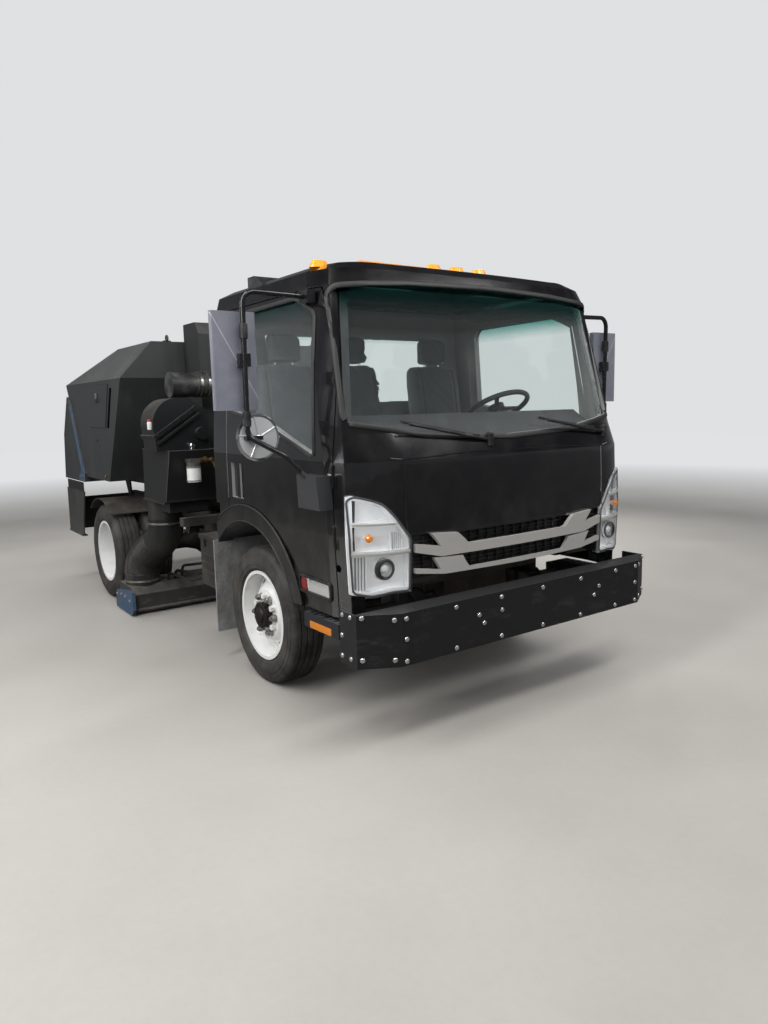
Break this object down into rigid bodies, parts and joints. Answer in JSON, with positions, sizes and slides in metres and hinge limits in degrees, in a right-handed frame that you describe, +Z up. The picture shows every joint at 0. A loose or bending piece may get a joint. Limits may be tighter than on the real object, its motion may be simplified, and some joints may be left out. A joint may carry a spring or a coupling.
{
  "type": "street sweeper truck",
  "caption": "Forward-control street sweeper truck with tilting cab, sweep head between the axles, auxiliary blower module and rear-tipping hopper.",
  "frame": {"origin": "on the ground, under the middle of the overall length and width", "axes": "+X is the truck's left side, -Y its front, +Z up"},
  "size_m": [2.8718, 5.44, 2.395],
  "materials": {
    "amber": "amber lens",
    "black_plastic": "moulded black plastic",
    "blue_paint": "faded slate-blue paint",
    "bumper_paint": "satin black textured plate",
    "cab_paint": "gloss black paint",
    "cast_metal": "dirty cast iron",
    "filter_white": "white spin-on can",
    "flap_rubber": "grey mud flap",
    "frame_paint": "dull black chassis paint with road dirt",
    "glass": "tinted safety glass",
    "hopper_paint": "satin black paint, dusty",
    "hose_rubber": "ribbed black hose",
    "lamp_glass": "clear lens over chrome",
    "mirror_grey": "grey mirror shell",
    "seat_cloth": "grey woven cloth",
    "silver": "pewter silver paint",
    "steel": "bright steel",
    "tyre_rubber": "worn rubber",
    "wheel_white": "white enamel"
  },
  "bodies": {
    "chassis": {"air_cleaner": "black_plastic", "aux_engine": "cast_metal", "battery_box": "black_plastic", "blower": "frame_paint", "cab_mounts": "frame_paint", "drive_shaft": "frame_paint", "engine": "cast_metal", "exhaust": "steel", "frame": "frame_paint", "front_axle": "cast_metal", "front_bumper": "bumper_paint", "fuel_tank": "frame_paint", "head_skids": "blue_paint", "intake_duct": "frame_paint", "leaf_springs": "frame_paint", "module_frame": "frame_paint", "mud_flaps": "flap_rubber", "oil_filter": "filter_white", "pressure_hose": "hose_rubber", "radiator": "black_plastic", "rear_axle": "cast_metal", "rear_guards": "black_plastic", "rear_skirts": "hopper_paint", "side_steps": "black_plastic", "suction_tube": "hose_rubber", "sweep_head": "frame_paint", "transition_box": "frame_paint"},
    "steer_right": {"knuckle_right": "cast_metal"},
    "steer_left": {"knuckle_left": "cast_metal"},
    "tie_rod": {"tie_rod": "frame_paint"},
    "wheel_front_right": {"front_tyre_right": "tyre_rubber", "front_wheel_right": "wheel_white"},
    "wheel_front_left": {"front_tyre_left": "tyre_rubber", "front_wheel_left": "wheel_white"},
    "wheels_rear_right": {"rear_tyres_right": "tyre_rubber", "rear_wheels_right": "wheel_white"},
    "wheels_rear_left": {"rear_tyres_left": "tyre_rubber", "rear_wheels_left": "wheel_white"},
    "cab": {"cab_shell": "cab_paint", "cab_glass": "glass", "grille": "black_plastic", "grille_bars": "silver", "headlamps": "lamp_glass", "headlamp_units": "silver", "dashboard": "black_plastic", "steering_wheel": "black_plastic", "seats": "seat_cloth", "wipers": "black_plastic", "roof_lamps": "amber", "roof_vent": "black_plastic"},
    "door_right": {"door_right": "cab_paint", "door_glass_right": "glass", "mirror_right": "mirror_grey"},
    "door_left": {"door_left": "cab_paint", "door_glass_left": "glass", "mirror_left": "mirror_grey"},
    "hopper": {"hopper": "hopper_paint"},
    "tailgate": {"tailgate": "hopper_paint"},
    "ram_barrel": {"ram_barrel": "frame_paint"},
    "ram_rod": {"ram_rod": "steel"}
  },
  "joints": [
    {"name": "cab_tilt", "type": "hinge", "parent": "chassis", "child": "cab", "pos_m": [0, -2.39, 0.85], "axis": [1, 0, 0], "range_deg": [0, 45]},
    {"name": "door_right_hinge", "type": "hinge", "parent": "cab", "child": "door_right", "pos_m": [-0.99, -2.374, 1.2], "axis": [0, 0, 1], "range_deg": [0, 65]},
    {"name": "door_left_hinge", "type": "hinge", "parent": "cab", "child": "door_left", "pos_m": [0.99, -2.374, 1.2], "axis": [0, 0, -1], "range_deg": [0, 65]},
    {"name": "steer_right_pivot", "type": "hinge", "parent": "chassis", "child": "steer_right", "pos_m": [-0.735, -1.43, 0.405], "axis": [0, 0, 1], "range_deg": [-35, 35]},
    {"name": "steer_left_pivot", "type": "hinge", "parent": "chassis", "child": "steer_left", "pos_m": [0.735, -1.43, 0.405], "axis": [0, 0, 1], "range_deg": [-35, 35]},
    {"name": "tie_rod_slide", "type": "slide", "parent": "chassis", "child": "tie_rod", "axis": [1, 0, 0], "range_m": [-0.1, 0.1]},
    {"name": "front_right_spin", "type": "hinge", "parent": "steer_right", "child": "wheel_front_right", "pos_m": [-0.833, -1.43, 0.405], "axis": [1, 0, 0], "continuous": true},
    {"name": "front_left_spin", "type": "hinge", "parent": "steer_left", "child": "wheel_front_left", "pos_m": [0.833, -1.43, 0.405], "axis": [1, 0, 0], "continuous": true},
    {"name": "rear_right_spin", "type": "hinge", "parent": "chassis", "child": "wheels_rear_right", "pos_m": [-0.825, 1.339, 0.405], "axis": [1, 0, 0], "continuous": true},
    {"name": "rear_left_spin", "type": "hinge", "parent": "chassis", "child": "wheels_rear_left", "pos_m": [0.825, 1.339, 0.405], "axis": [1, 0, 0], "continuous": true},
    {"name": "hopper_tilt", "type": "hinge", "parent": "chassis", "child": "hopper", "pos_m": [0, 2.67, 0.915], "axis": [-1, 0, 0], "range_deg": [0, 50]},
    {"name": "tailgate_hinge", "type": "hinge", "parent": "hopper", "child": "tailgate", "pos_m": [0, 2.376, 1.79], "axis": [1, 0, 0], "range_deg": [0, 95]},
    {"name": "ram_pivot", "type": "hinge", "parent": "chassis", "child": "ram_barrel", "pos_m": [0, 2.22, 0.64], "axis": [-1, 0, 0], "range_deg": [0, 56]},
    {"name": "ram_slide", "type": "slide", "parent": "ram_barrel", "child": "ram_rod", "axis": [0, -0.8793, 0.4763], "range_m": [0, 0.455]}
  ],
  "couplings": [
    {"joint": "steer_left_pivot", "follows": "steer_right_pivot", "ratio": 1},
    {"joint": "tie_rod_slide", "follows": "steer_right_pivot", "m_per_rad": -0.15},
    {"joint": "ram_pivot", "follows": "hopper_tilt", "ratio": 1.07},
    {"joint": "ram_slide", "follows": "hopper_tilt", "m_per_rad": 0.51}
  ]
}
